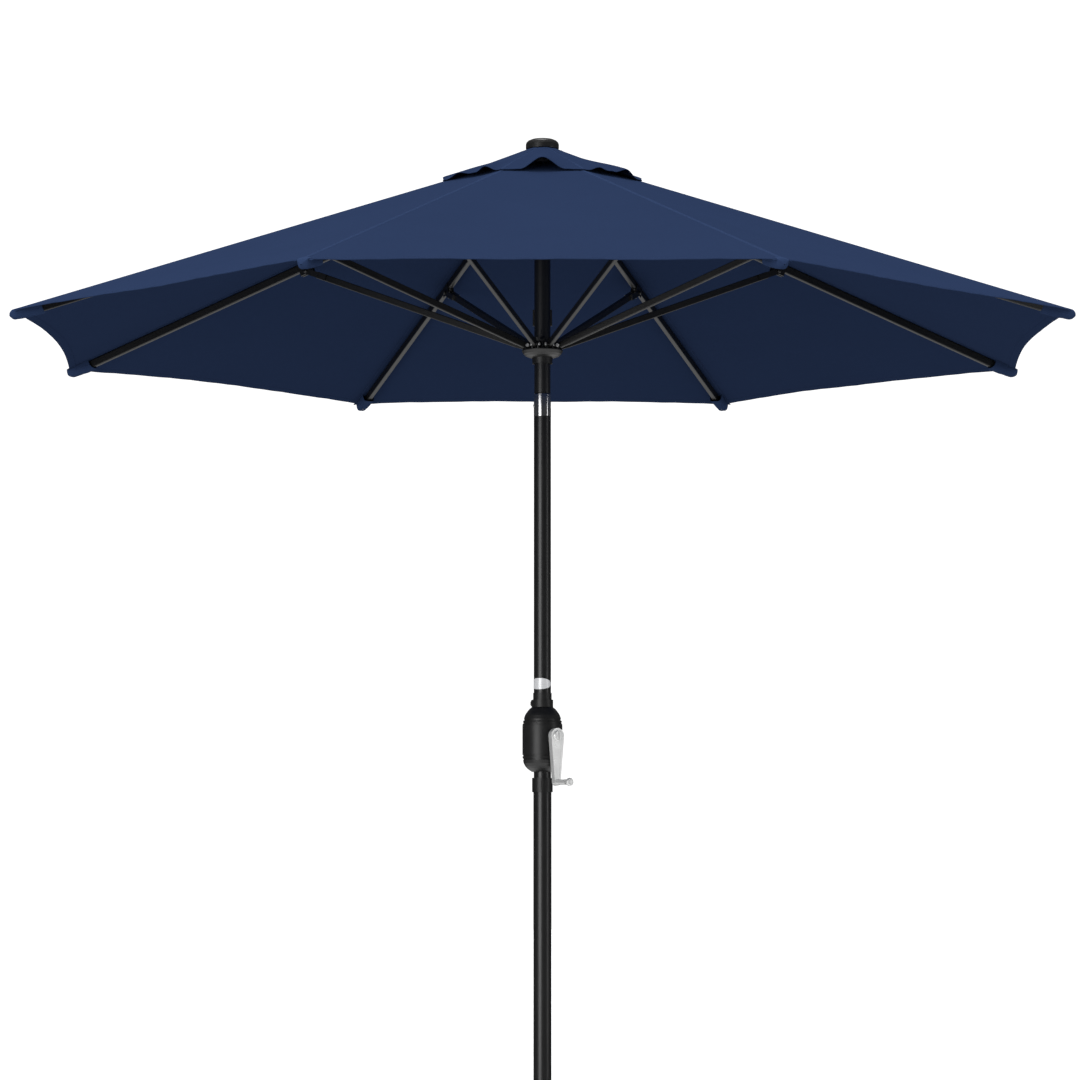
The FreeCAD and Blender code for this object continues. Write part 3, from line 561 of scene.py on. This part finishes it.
def cap_seam(k, mats):
    w = CAP_SEAM_HALF
    columns = [-w, -w * 0.9, -w * 0.4, 0, w * 0.4, w * 0.9, w]

    def upper(y):
        return 0.0007 - 0.0008 * smooth(abs(y) / w, 0.86, 1.0)
    return strip("cap_seam_%d" % k, k, mats, columns, CAP_IN, rib_length(CAP_R) - 0.003, upper,
                 lambda y: -0.0006, cap_rise, rows=40,
                 stitches=((-0.0028, 0.0007, STITCH_PITCH), (0.0028, 0.0007, STITCH_PITCH)))


def tape(k, mats):
    w = TAPE_HALF
    columns = [-w, -w * 0.96, -w * 0.7, -w * 0.35, 0, w * 0.35, w * 0.7, w * 0.96, w]
    return strip("rib_tape_%d" % k, k, mats, columns, VENT_LEN + 0.002, rib_length(RIM_R) - 0.004,
                 lambda y: -0.0011, lambda y: -0.0018, lambda m: 0,
                 stitches=((-0.0185, -0.0019, 0.0060), (0.0185, -0.0019, 0.0060)))


def pocket_point(k, t, b):
    """A point of the pocket's outer face: t from mouth to end, b round the rib, 0 underneath.

    Returns the places along the rib, beside it and above the cloth's top face.
    """
    under = max(0.0, cos(b))
    mouth = 0.007 * under ** 2 - 0.002
    s = -(POCKET_LEN + mouth) * (1 - t) + POCKET_OVER * t
    end = smooth(t, 0.80, 1.0)
    close = (1 - end ** 2.2) ** 0.5 * 0.9 + 0.1
    width = (0.0158 - 0.0035 * t) * (1 + 0.04 * sin(8 * t + 2 * k)) * close
    depth = 0.0265 - 0.0065 * t ** 1.5
    pucker = 0.0009 * sin(19 * b + 9 * t + k) * (1 - end) * smooth(t, 0.05, 0.35)
    y = width * (abs(sin(b)) ** 0.75) * (1 if b > 0 else -1) * (1 + 12 * pucker * under)
    over = -0.0021 + 0.0034 * smooth(s, -0.019, -0.016)
    if cos(b) > 0:
        z = -0.0020 - (depth - 0.002 + pucker) * cos(b) ** 0.6
    else:
        z = over - 0.0006 * (1 - abs(cos(b)))
    z = POCKET_MIDDLE + (z - POCKET_MIDDLE) * close
    return s, y, z - SIDE_FALL * abs(y) * 0.8


def pocket(k, mats):
    """The cloth pocket that holds a rib's end: a sock under the corner, wrapped over its end."""
    out, sideways = rib_frame(k)
    fall = out * cos(SLOPE) - UP * sin(SLOPE)
    lift = out * sin(SLOPE) + UP * cos(SLOPE)
    tip = APEX + fall * rib_length(RIM_R)

    def cell(i, j):
        t = i / (POCKET_ROWS - 1)
        b = -pi + 2 * pi * j / (POCKET_COLS - 1)
        s, y, z = pocket_point(k, t, b)
        p = tip + fall * s + sideways * y + lift * z
        inward = tip + fall * (s - 0.004 * smooth(t, 0.8, 1)) + lift * POCKET_MIDDLE - p
        inner = p + inward.normalized() * min(POCKET_T, inward.length * 0.4)
        return p, inner, (b * 0.012, s)
    tops, bottoms, uvs = grids(POCKET_ROWS, POCKET_COLS, cell)
    draft = Draft()
    shell(draft, tops, bottoms, uvs, True)
    quarter = POCKET_COLS // 4
    rows_of_stitches = [[(i, j) for i in range(2, POCKET_ROWS - 8)]
                        for j in (quarter + 2, POCKET_COLS - 3 - quarter)]
    rows_of_stitches.append([(2, j) for j in range(quarter + 3, POCKET_COLS - 3 - quarter)])
    for line in rows_of_stitches:
        for (i, j), (u, v) in zip(line[::2], line[1::2]):
            p, q = tops[i][j], tops[u][v]
            normal = (p - bottoms[i][j]).normalized()
            along = (q - p).normalized()
            stitch(draft, p, along, normal, normal.cross(along), POCKET_STITCH)
    obj = draft.build("corner_pocket_%d" % k, mats, 60)
    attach(obj, "rib_%d" % k)
    return obj


def rivet_caps(k, coat):
    """Domed rivet heads over the strut bracket's pin."""
    out, sideways = rib_frame(k)
    arm_slope = SLOPE + atan(BRACKET_DROP / ARM)
    crown_z = RIM_Z + (RIM_R - PIVOT_R) * tan(SLOPE) - RIB_DROP
    centre = out * (PIVOT_R + ARM * cos(arm_slope)) + UP * (crown_z - ARM * sin(arm_slope))
    sides = RIVET_SIDES
    draft = Draft()
    for side in (-1, 1):
        base = centre + sideways * side * BRACKET_HALF
        points = []
        for r, h in RIVET_OUTLINE:
            for j in range(sides):
                a = 2 * pi * j / sides
                points.append(base + out * (r * cos(a)) + UP * (r * sin(a)) + sideways * side * h)
        faces = tube_faces(len(RIVET_OUTLINE) - 1, sides)
        if side > 0:
            faces = [f[::-1] for f in faces]
        draft.add(points, [(0, 0)] * len(points), faces)
    obj = draft.build("rivet_caps_%d" % k, [coat], 50)
    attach(obj, "rib_%d" % k)
    return obj


# ---- lift cord -----------------------------------------------------------------------------

def cord_run(name, radius, low, high, x, y, braided):
    """A braided cord running straight up: two sets of strands wound round a core."""
    draft = Draft()
    rows = max(8, int((high - low) / BRAID_ROW))
    points = []
    for i in range(rows + 1):
        z = low + (high - low) * i / rows
        turn = 2 * pi * z / BRAID_PITCH
        for j in range(BRAID_SIDES):
            a = 2 * pi * j / BRAID_SIDES
            ridge = 0.07 * sin(4 * a + turn) * sin(4 * a - turn)
            r = radius * (0.93 + ridge)
            points.append(Vector((x + r * cos(a), y + r * sin(a), z)))
    draft.add(points, [(p.x, p.z) for p in points], tube_faces(rows, BRAID_SIDES))
    obj = draft.build(name, [braided], 60)
    return obj


def lift_cords(braided):
    low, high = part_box("lift_cord_outer")
    x, y = (low.x + high.x) / 2, (low.y + high.y) / 2
    radius = (high.x - low.x) / 2
    run = cord_run("cord_outer", radius, low.z, high.z, x, y, braided)
    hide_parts("lift_cord_outer")
    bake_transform(run)
    tail = cord_run("cord_tail", radius * TAIL_SLIM, low.z + TAIL_LOW, low.z + TAIL_HIGH, x, y,
                    braided)
    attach(tail, "runner")


# ---- materials -----------------------------------------------------------------------------

def material(name, colour, roughness, metallic=0.0, **sockets):
    mat = bpy.data.materials.new(name)
    mat.use_nodes = True
    shader = mat.node_tree.nodes["Principled BSDF"]
    shader.inputs["Base Color"].default_value = (*colour, 1)
    shader.inputs["Roughness"].default_value = roughness
    shader.inputs["Metallic"].default_value = metallic
    for key, value in sockets.items():
        shader.inputs[key.replace("_", " ")].default_value = value
    return mat, mat.node_tree.nodes, mat.node_tree.links, shader


def node(nodes, kind, **values):
    n = nodes.new(kind)
    for key, value in values.items():
        if hasattr(n, key):
            setattr(n, key, value)
        else:
            n.inputs[key.replace("_", " ")].default_value = value
    return n


def noise(nodes, links, coords, scale, detail=3.0, rough=0.55):
    n = node(nodes, "ShaderNodeTexNoise", Scale=scale, Detail=detail, Roughness=rough)
    links.new(coords, n.inputs["Vector"])
    return n.outputs["Fac"]


def remap(nodes, links, value, low, high, start=0.0, end=1.0):
    n = node(nodes, "ShaderNodeMapRange")
    n.inputs["From Min"].default_value = start
    n.inputs["From Max"].default_value = end
    n.inputs["To Min"].default_value = low
    n.inputs["To Max"].default_value = high
    links.new(value, n.inputs["Value"])
    return n.outputs["Result"]


def combine(nodes, links, operation, a, b):
    n = node(nodes, "ShaderNodeMath", operation=operation)
    for i, v in enumerate((a, b)):
        if isinstance(v, (int, float)):
            n.inputs[i].default_value = v
        else:
            links.new(v, n.inputs[i])
    return n.outputs[0]


def weighted(nodes, links, *parts):
    """The sum of values, each times its share."""
    shares = [combine(nodes, links, "MULTIPLY", value, share) for value, share in parts]
    total = shares[0]
    for one in shares[1:]:
        total = combine(nodes, links, "ADD", total, one)
    return total


def tint(nodes, links, factor, dark, light):
    n = node(nodes, "ShaderNodeMix", data_type="RGBA")
    links.new(factor, n.inputs["Factor"])
    n.inputs["A"].default_value = (*dark, 1)
    n.inputs["B"].default_value = (*light, 1)
    return n.outputs["Result"]


def bump(nodes, links, shader, height, strength, distance):
    n = node(nodes, "ShaderNodeBump", Strength=strength, Distance=distance)
    links.new(height, n.inputs["Height"])
    links.new(n.outputs["Normal"], shader.inputs["Normal"])


def object_coords(nodes):
    return node(nodes, "ShaderNodeTexCoord").outputs["Object"]


def cloth(name, colour):
    """Woven polyester: warp and weft threads, uneven yarn and slow fading."""
    mat, nodes, links, shader = material(name, colour, 0.86, Sheen_Weight=0.02,
                                         Sheen_Roughness=0.5, Specular_IOR_Level=0.0)
    shader.inputs["Sheen Tint"].default_value = (*COLOURS["sheen"], 1)
    flat = node(nodes, "ShaderNodeTexCoord").outputs["UV"]
    threads = []
    for direction in ("X", "Y"):
        wave = node(nodes, "ShaderNodeTexWave", Scale=350.0, Distortion=0.6, Detail=1.0)
        wave.bands_direction = direction
        links.new(flat, wave.inputs["Vector"])
        threads.append(wave.outputs["Fac"])
    weave = combine(nodes, links, "MULTIPLY", threads[0], threads[1])
    slub = noise(nodes, links, flat, 900.0, 2.0)
    fade = noise(nodes, links, flat, 2.3, 4.0)
    mottle = noise(nodes, links, flat, 60.0, 4.0)
    tone = weighted(nodes, links, (weave, 0.35), (slub, 0.25), (fade, 0.35), (mottle, 0.18))
    dark = [c * 0.80 for c in colour]
    light = [min(1, c * 1.28) for c in colour]
    links.new(tint(nodes, links, tone, dark, light), shader.inputs["Base Color"])
    links.new(remap(nodes, links, weave, 0.92, 0.78), shader.inputs["Roughness"])
    height = weighted(nodes, links, (weave, 1.0), (slub, 0.5))
    bump(nodes, links, shader, height, 0.22, 0.0003)
    return mat


def coated(name, colour, roughness, grain, strength, **sockets):
    """Powder coat or moulded plastic: fine orange peel, uneven gloss and faint dust."""
    mat, nodes, links, shader = material(name, colour, roughness, **sockets)
    place = object_coords(nodes)
    fine = noise(nodes, links, place, grain, 2.0)
    broad = noise(nodes, links, place, 7.0, 4.0)
    dust = noise(nodes, links, place, 38.0, 5.0, 0.65)
    mixed = weighted(nodes, links, (fine, 0.4), (dust, 0.6))
    light = [c * 1.5 + 0.002 for c in colour]
    links.new(tint(nodes, links, mixed, [c * 0.82 for c in colour], light),
              shader.inputs["Base Color"])
    uneven = weighted(nodes, links, (broad, 0.6), (fine, 0.4))
    links.new(remap(nodes, links, uneven, roughness - 0.07, roughness + 0.09, 0.25, 0.75),
              shader.inputs["Roughness"])
    bump(nodes, links, shader, fine, strength, 0.0003)
    return mat


def metal(name, colour, roughness, stretch, strength, metallic=1.0):
    """Plated or brushed metal: fine drawn lines and faint smudges."""
    mat, nodes, links, shader = material(name, colour, roughness, metallic)
    place = object_coords(nodes)
    scaled = node(nodes, "ShaderNodeMapping")
    scaled.inputs["Scale"].default_value = stretch
    links.new(place, scaled.inputs["Vector"])
    lines = noise(nodes, links, scaled.outputs["Vector"], 1.0, 3.0)
    smudge = noise(nodes, links, place, 45.0, 4.0)
    mixed = weighted(nodes, links, (lines, 0.5), (smudge, 0.5))
    dark = [c * 0.86 for c in colour]
    light = [min(1, c * 1.08) for c in colour]
    links.new(tint(nodes, links, mixed, dark, light), shader.inputs["Base Color"])
    links.new(remap(nodes, links, mixed, max(0.03, roughness - 0.06), roughness + 0.10, 0.3, 0.7),
              shader.inputs["Roughness"])
    bump(nodes, links, shader, lines, strength, 0.0002)
    return mat


def braid(name, colour):
    """Braided cord: a fine noise over its strands."""
    mat, nodes, links, shader = material(name, colour, 0.8, Sheen_Weight=0.2)
    strand = noise(nodes, links, object_coords(nodes), 1400.0, 2.0)
    dark = [c * 0.6 for c in colour]
    light = [c * 2.0 for c in colour]
    links.new(tint(nodes, links, strand, dark, light), shader.inputs["Base Color"])
    bump(nodes, links, shader, strand, 0.4, 0.0004)
    return mat


def finishes():
    """The material of each slot in the record."""
    c = COLOURS
    return {
        "canopy_cloth": cloth("navy cloth", c["cloth"]),
        "black_frame": coated("black rib coat", c["rib_coat"], 0.38, 900.0, 0.10),
        "black_pole": coated("black pole coat", c["pole_coat"], 0.34, 1100.0, 0.08,
                             Specular_IOR_Level=0.8, Coat_Weight=0.2, Coat_Roughness=0.25),
        "black_plastic": coated("black moulded plastic", c["plastic"], 0.40, 1500.0, 0.12,
                                Specular_IOR_Level=0.7),
        "chrome": metal("chrome", c["chrome"], 0.09, (300, 300, 18), 0.03),
        "silver_metal": metal("satin silver", c["silver"], 0.30, (60, 60, 700), 0.02, 0.6),
        "badge": metal("silver badge", c["badge"], 0.30, (30, 30, 1500), 0.06, 0.25),
        "inner_steel": metal("plain steel", c["steel"], 0.35, (200, 200, 60), 0.10),
        "cord": braid("black cord", c["cord"]),
        "rubber": coated("rubber", c["rubber"], 0.72, 600.0, 0.35),
        "base_weight": coated("textured base coat", c["base_coat"], 0.62, 420.0, 0.55),
    }


# ---- studio --------------------------------------------------------------------------------

def floor():
    """A pale floor, which neither lights nor mirrors in the umbrella."""
    mesh = bpy.data.meshes.new("floor")
    size, count = FLOOR_SIZE, FLOOR_CELLS
    points = [(size * (i / count - 0.5), size * (j / count - 0.5), FLOOR_Z)
              for i in range(count + 1) for j in range(count + 1)]
    faces = []
    for i in range(count):
        for j in range(count):
            a = i * (count + 1) + j
            faces.append((a, a + count + 1, a + count + 2, a + 1))
    mesh.from_pydata(points, [], faces)
    obj = bpy.data.objects.new("floor", mesh)
    bpy.context.collection.objects.link(obj)
    mat, _, _, shader = material("pale floor", COLOURS["floor"], 0.9)
    shader.inputs["Emission Color"].default_value = (1, 1, 1, 1)
    shader.inputs["Emission Strength"].default_value = FLOOR_GLOW
    obj.data.materials.append(mat)
    obj.visible_diffuse = obj.visible_glossy = False


def world():
    """White to the camera; dim above and pale below in reflections; light mostly from above."""
    w = bpy.data.worlds.new("studio")
    bpy.context.scene.world = w
    w.use_nodes = True
    nodes, links = w.node_tree.nodes, w.node_tree.links
    nodes.clear()
    out = nodes.new("ShaderNodeOutputWorld")
    seen, light, mirrored = (nodes.new("ShaderNodeBackground") for _ in range(3))
    seen.inputs["Strength"].default_value = SKY_SEEN
    seen.inputs["Color"].default_value = (1, 1, 1, 1)
    path = nodes.new("ShaderNodeLightPath")
    place = nodes.new("ShaderNodeTexCoord")
    split = nodes.new("ShaderNodeSeparateXYZ")
    links.new(place.outputs["Generated"], split.inputs["Vector"])
    strength = remap(nodes, links, split.outputs["Z"], GROUND_LIGHT, SKY_LIGHT, -0.15, 0.35)
    links.new(strength, light.inputs["Strength"])
    light.inputs["Color"].default_value = (*COLOURS["sky"], 1)
    above = remap(nodes, links, split.outputs["Z"], DARK_STUDIO, DARK_STUDIO * 6, 0.2, 1.0)
    below = remap(nodes, links, split.outputs["Z"], PALE_GROUND, 0.0, -0.55, -0.25)
    both = combine(nodes, links, "ADD", above, below)
    links.new(both, mirrored.inputs["Strength"])
    mirrored.inputs["Color"].default_value = (1, 1, 1, 1)
    shown = light.outputs["Background"]
    for flag, other in (("Is Glossy Ray", mirrored), ("Is Camera Ray", seen)):
        mix = nodes.new("ShaderNodeMixShader")
        links.new(path.outputs[flag], mix.inputs["Fac"])
        links.new(shown, mix.inputs[1])
        links.new(other.outputs["Background"], mix.inputs[2])
        shown = mix.outputs["Shader"]
    links.new(shown, out.inputs["Surface"])


def sun(direction, power, spread):
    data = bpy.data.lights.new("key", "SUN")
    data.energy = power
    data.angle = radians(spread)
    obj = bpy.data.objects.new("key", data)
    obj.rotation_euler = Vector(direction).to_track_quat("-Z", "Y").to_euler()
    bpy.context.collection.objects.link(obj)


def softbox(name, place, aim, size, power):
    data = bpy.data.lights.new(name, "AREA")
    data.shape = "RECTANGLE"
    data.size, data.size_y = size
    data.energy = power
    obj = bpy.data.objects.new(name, data)
    obj.location = place
    obj.rotation_euler = (Vector(aim) - Vector(place)).to_track_quat("-Z", "Y").to_euler()
    obj.visible_camera = False
    bpy.context.collection.objects.link(obj)


def camera():
    data = bpy.data.cameras.new("camera")
    data.lens, data.sensor_width = CAMERA_LENS, CAMERA_SENSOR
    data.clip_end = 200
    obj = bpy.data.objects.new("camera", data)
    obj.location = CAMERA_AT
    obj.rotation_euler = (radians(90 + CAMERA_RAISE), 0, 0)
    bpy.context.collection.objects.link(obj)
    bpy.context.scene.camera = obj


def studio():
    floor()
    world()
    sun(SUN_WAY, SUN_POWER, SUN_SPREAD)
    for box in SOFTBOXES:
        softbox(*box)
    bpy.context.scene.view_settings.view_transform = "Standard"


# ---- build ---------------------------------------------------------------------------------

def dress_cad(mats):
    """Give each CAD piece its finish by its slot in the record."""
    slots = {p["node"]: p["material_slot"] for p in frame["record"]["subparts"]}
    for name, obj in frame["nodes"].items():
        if obj.type != "MESH":
            continue
        mat = mats[slots[name]]
        if not obj.material_slots:
            obj.data.materials.append(mat)
        for s in obj.material_slots:
            s.material = mat


def build_canopy(mats):
    thread = cloth("navy thread", COLOURS["thread"])
    # a lighter cloth for the seams and pockets, painting the highlight that the raised seams catch
    seam_highlight = cloth("navy cloth with painted seam highlight", COLOURS["seam_highlight_cloth"])
    both = [mats["canopy_cloth"], thread]
    pale = [seam_highlight, thread]
    centre = cap_centre(both)
    for k in range(1, RIBS + 1):
        trims = [seam(k, pale), tape(k, both)]
        for side in (-1, 1):
            panel = canopy_panel(k, side, both)
            trims = []
        cap_trims = [cap_seam(k, pale)]
        for side in (-1, 1):
            panel = cap_panel(k, side, both)
            cap_trims = []
        lining = cap_lining(k, both)
        hood = pocket(k, pale)
        rivet_caps(k, mats["black_frame"])


camera()
finish_by_slot = finishes()
dress_cad(finish_by_slot)
build_canopy(finish_by_slot)
lift_cords(finish_by_slot["cord"])
studio()
